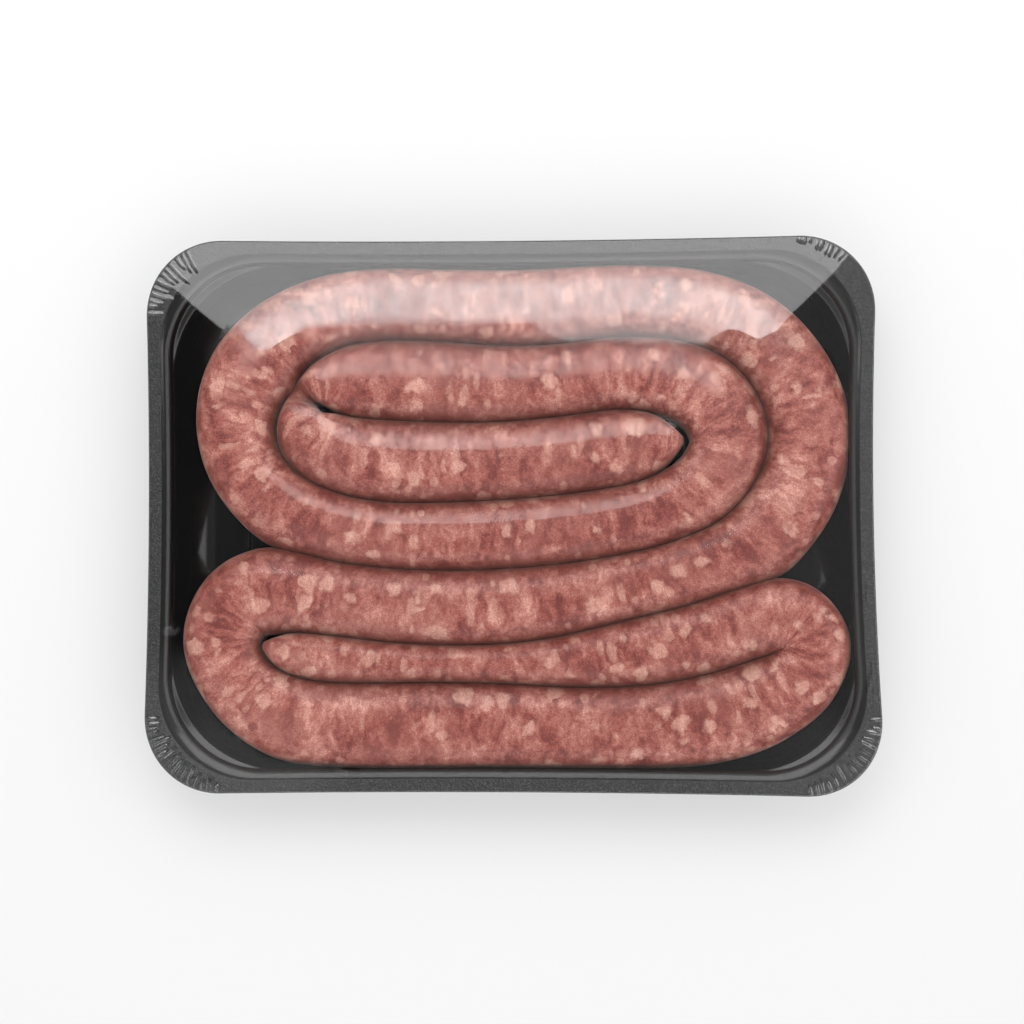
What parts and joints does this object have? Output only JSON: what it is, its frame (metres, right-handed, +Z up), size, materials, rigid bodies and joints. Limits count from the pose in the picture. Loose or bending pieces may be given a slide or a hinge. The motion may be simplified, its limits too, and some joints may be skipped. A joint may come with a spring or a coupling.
{
  "type": "film-wrapped tray of coiled raw sausage",
  "caption": "Raw coarse-ground sausage in a natural casing, folded to and fro in a black plastic tray under clear stretch film.",
  "frame": {"origin": "on the ground under the middle of the pack", "axes": "+X along the tray's long side, +Y along its short side, +Z up"},
  "size_m": [0.2676, 0.2028, 0.028],
  "materials": {
    "tray": "thin black plastic, smooth inside, finely pebbled on the flange",
    "sausage": "moist raw coarse-ground meat with pale fat seen through a thin natural casing",
    "film": "clear stretch film, glossy, pulled taut with small pleats at the corners"
  },
  "bodies": {
    "root": {"tray": "tray", "sausage": "sausage", "film": "film"}
  },
  "joints": []
}
